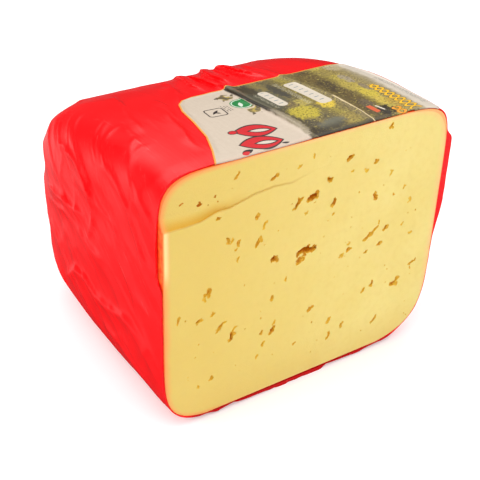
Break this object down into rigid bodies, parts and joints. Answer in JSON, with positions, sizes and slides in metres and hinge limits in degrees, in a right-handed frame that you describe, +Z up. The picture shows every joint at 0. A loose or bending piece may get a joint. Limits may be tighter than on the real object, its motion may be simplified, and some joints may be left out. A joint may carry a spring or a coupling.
{
  "type": "half block of semi-hard cheese in red film",
  "caption": "Half of a rounded rectangular block of semi-hard yellow cheese with small eyes in its cut face, in red shrink film with a label on top.",
  "frame": {"origin": "bottom centre of the whole thing's box, on the surface it rests on", "axes": "+Z up, the cut face looks along -Y, +X to the right as the cut face is looked at"},
  "size_m": [0.153, 0.1456, 0.1305],
  "materials": {
    "cheese": "satin",
    "film": "gloss",
    "label": "satin"
  },
  "bodies": {
    "root": {"cheese": "cheese", "film_wrap": "film", "top_label": "label"}
  },
  "joints": []
}
